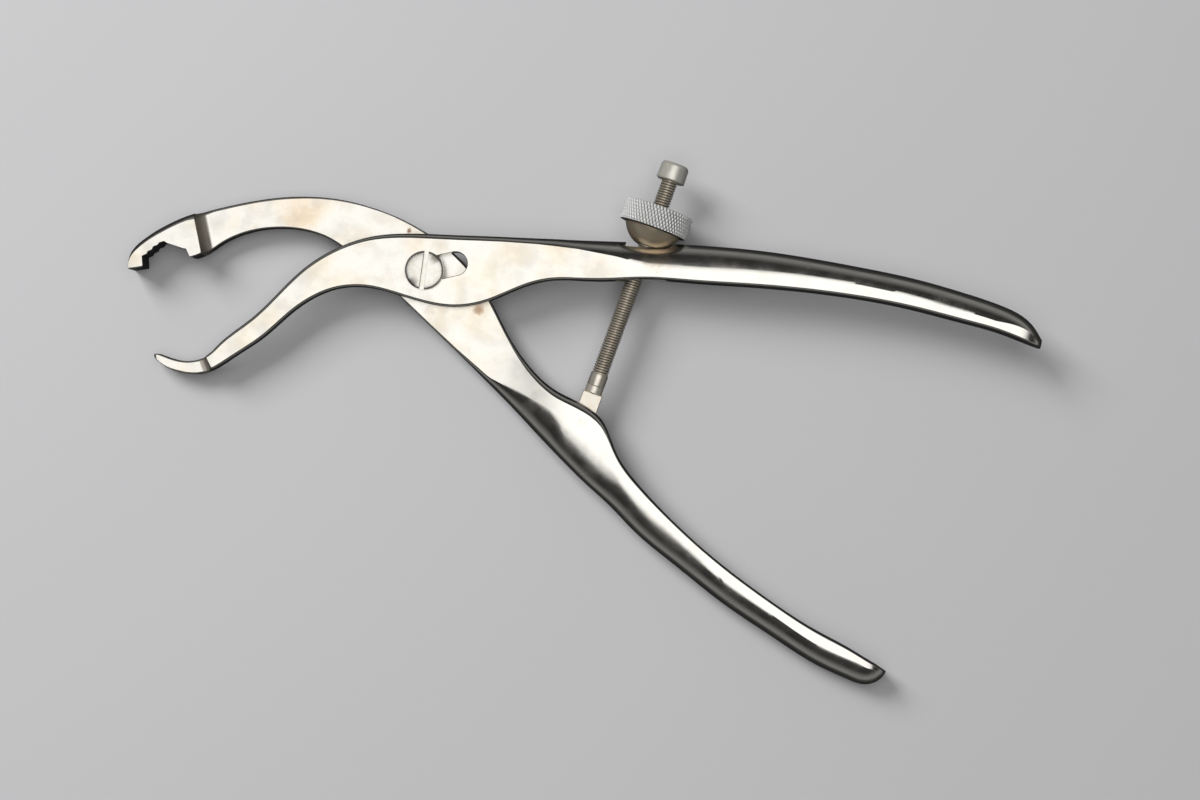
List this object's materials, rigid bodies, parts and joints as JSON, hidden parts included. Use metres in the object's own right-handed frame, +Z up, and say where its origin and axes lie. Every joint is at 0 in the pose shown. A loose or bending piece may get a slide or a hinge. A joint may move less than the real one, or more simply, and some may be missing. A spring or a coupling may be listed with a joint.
{
  "type": "bone holding forceps",
  "caption": "Long crossed-lever forceps with a hooked jaw and a serrated claw jaw, a two-position sliding pivot, and a threaded spindle with a knurled nut that locks the handles.",
  "frame": {"origin": "on the pivot axis, at the centre of the pivot screw's flush tail, in the plane of the clawed lever's underside", "axes": "+X from the jaws towards the handles, +Y in the levers' plane towards the nut's side, +Z up out of the levers' flat side that shows the screw head"},
  "size_m": [0.2756, 0.1585, 0.0212],
  "materials": {
    "lever_steel": "satin flats with warm water stains, mirror-polished handles",
    "screw_steel": "polished",
    "foot_steel": "satin, warm tint",
    "spindle_steel": "rolled thread, satin",
    "cap_steel": "turned, satin",
    "seat_steel": "turned, satin, heat-tinted brown",
    "knurl_steel": "bright diamond knurl"
  },
  "bodies": {
    "hook_lever": {"hook_lever": "lever_steel"},
    "pivot_screw": {"pivot_screw": "screw_steel"},
    "claw_lever": {"claw_lever": "lever_steel"},
    "spindle_pin": {"spindle_pin": "screw_steel"},
    "spindle": {"spindle_foot": "foot_steel", "spindle": "spindle_steel", "stop_cap": "cap_steel"},
    "nut_seat": {"nut_seat": "seat_steel"},
    "knurled_nut": {"knurled_nut": "knurl_steel"}
  },
  "joints": [
    {"name": "pivot_shift", "type": "slide", "parent": "hook_lever", "child": "pivot_screw", "axis": [0.9755, 0.2198, 0], "range_m": [0, 0.0095]},
    {"name": "jaw_open", "type": "hinge", "parent": "pivot_screw", "child": "claw_lever", "pos_m": [0, 0, 0.005], "axis": [0, 0, -1], "range_deg": [-17, 8]},
    {"name": "spindle_swing", "type": "hinge", "parent": "claw_lever", "child": "spindle_pin", "pos_m": [0.0473, -0.0456, 0.005], "axis": [0, 0, 1], "range_deg": [-10.36, 4.88]},
    {"name": "spindle_shift_swing", "type": "hinge", "parent": "spindle_pin", "child": "spindle", "pos_m": [0.0473, -0.0456, 0.005], "axis": [0, 0, 1], "range_deg": [0, 9.98]},
    {"name": "nut_travel", "type": "slide", "parent": "spindle", "child": "nut_seat", "axis": [0.342, 0.9397, 0], "range_m": [-0.01794, 0.00845]},
    {"name": "nut_spin", "type": "hinge", "parent": "nut_seat", "child": "knurled_nut", "pos_m": [0.06962, 0.01571, 0.005], "axis": [0.342, 0.9397, 0], "range_deg": [-8070, 3798]}
  ],
  "couplings": [
    {"joint": "spindle_swing", "follows": "jaw_open", "ratio": 0.609},
    {"joint": "spindle_shift_swing", "follows": "pivot_shift", "rad_per_m": 18.326},
    {"joint": "nut_travel", "follows": "jaw_open", "m_per_rad": 0.06043},
    {"joint": "nut_spin", "follows": "jaw_open", "ratio": 474.62}
  ]
}
